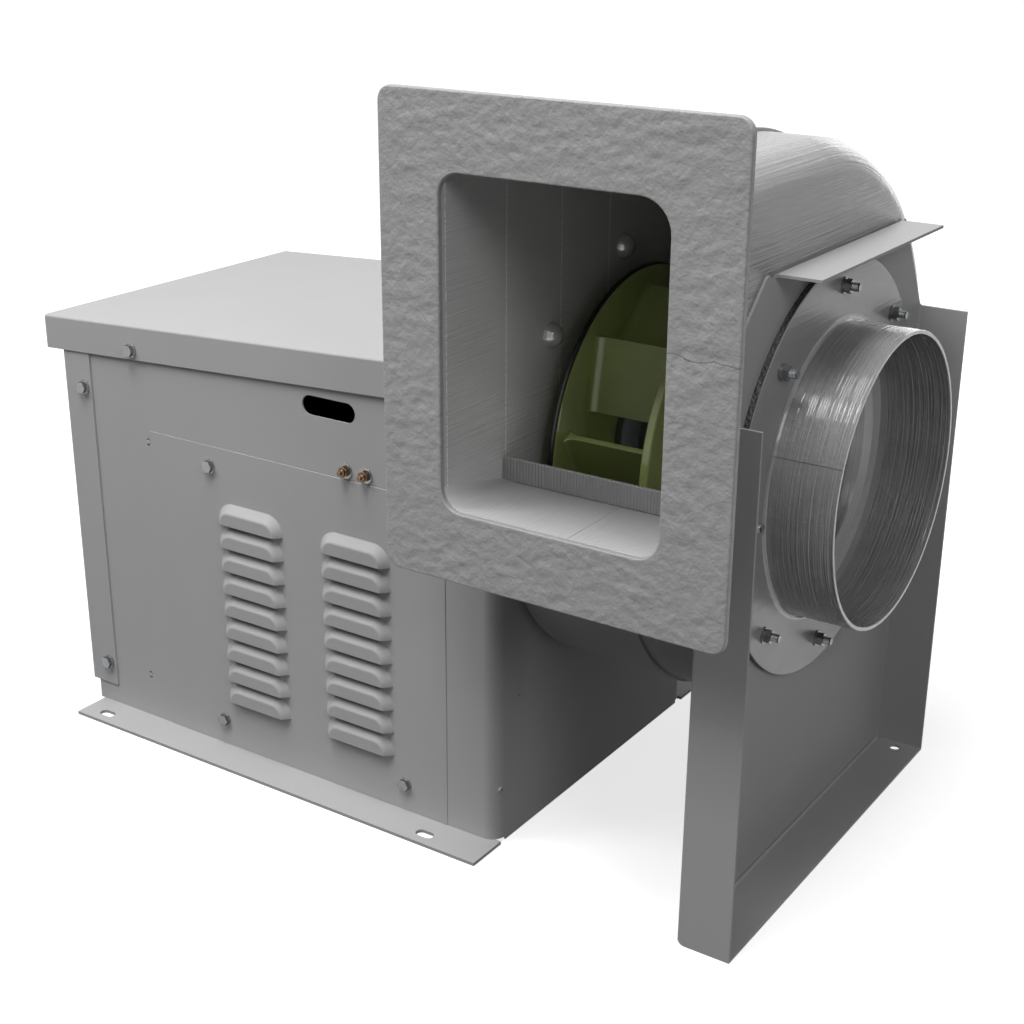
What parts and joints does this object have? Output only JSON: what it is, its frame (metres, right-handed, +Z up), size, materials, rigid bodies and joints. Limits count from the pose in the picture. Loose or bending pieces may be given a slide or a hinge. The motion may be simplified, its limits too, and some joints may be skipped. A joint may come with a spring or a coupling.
{
  "type": "centrifugal exhaust blower",
  "caption": "Belt-drive centrifugal exhaust blower: moulded scroll with flanged outlet, round duct inlet, bladed wheel and louvered steel drive cabinet.",
  "frame": {"origin": "on the floor, in the middle of the four slotted holes in the base rails", "axes": "+X along the fan shaft towards the inlet collar, -Y out of the discharge, +Z up"},
  "size_m": [0.968, 0.6345, 0.812],
  "materials": {
    "cabinet_paint": "matte light grey paint",
    "grey_frp": "glossy grey glass-fibre laminate",
    "green_frp": "glossy olive green moulding",
    "zinc": "zinc plated",
    "bronze": "bronze",
    "steel": "turned steel",
    "cast": "painted casting",
    "belt": "black rubber",
    "seal": "black rubber",
    "motor_paint": "satin paint"
  },
  "bodies": {
    "cabinet": {"access_panel": "cabinet_paint", "base_pan": "cabinet_paint", "base_rail_front": "cabinet_paint", "base_rail_rear": "cabinet_paint", "bearing_stand": "cabinet_paint", "cabinet_wrap": "cabinet_paint", "cutoff_plate": "grey_frp", "discharge_flange": "grey_frp", "door_bolt_1": "zinc", "door_bolt_2": "zinc", "door_bolt_3": "zinc", "door_bolt_4": "zinc", "drive_belt": "belt", "end_bolt_front_1": "zinc", "end_bolt_front_2": "zinc", "end_bolt_rear_1": "zinc", "end_bolt_rear_2": "zinc", "end_panel": "cabinet_paint", "grease_fitting_1": "bronze", "grease_fitting_2": "bronze", "inlet_collar": "grey_frp", "inlet_cone": "grey_frp", "inlet_plate": "grey_frp", "inlet_stand": "cabinet_paint", "inlet_stud_1": "zinc", "inlet_stud_2": "zinc", "inlet_stud_3": "zinc", "inlet_stud_4": "zinc", "inlet_stud_5": "zinc", "inlet_stud_6": "zinc", "inlet_stud_7": "zinc", "inlet_stud_8": "zinc", "lid": "cabinet_paint", "lid_bolt_front_1": "zinc", "lid_bolt_front_2": "zinc", "lid_bolt_rear_1": "zinc", "lid_bolt_rear_2": "zinc", "motor": "motor_paint", "motor_slide_base": "cabinet_paint", "mounting_ring": "grey_frp", "pillow_block_fan": "cast", "pillow_block_pulley": "cast", "scroll_housing": "grey_frp", "scroll_inlet_half": "grey_frp", "shaft_seal": "seal"},
    "fan_rotor": {"fan_shaft": "steel", "fan_pulley": "cast", "impeller_wheel": "green_frp", "impeller_hub": "cast"},
    "motor_rotor": {"motor_shaft": "steel", "motor_pulley": "cast"}
  },
  "joints": [
    {"name": "fan_spin", "type": "hinge", "parent": "cabinet", "child": "fan_rotor", "pos_m": [0, 0.015, 0.42], "axis": [1, 0, 0], "continuous": true},
    {"name": "motor_spin", "type": "hinge", "parent": "cabinet", "child": "motor_rotor", "pos_m": [0, 0.015, 0.16], "axis": [1, 0, 0], "continuous": true}
  ],
  "couplings": [
    {"joint": "motor_spin", "follows": "fan_spin", "ratio": 1.5594}
  ]
}
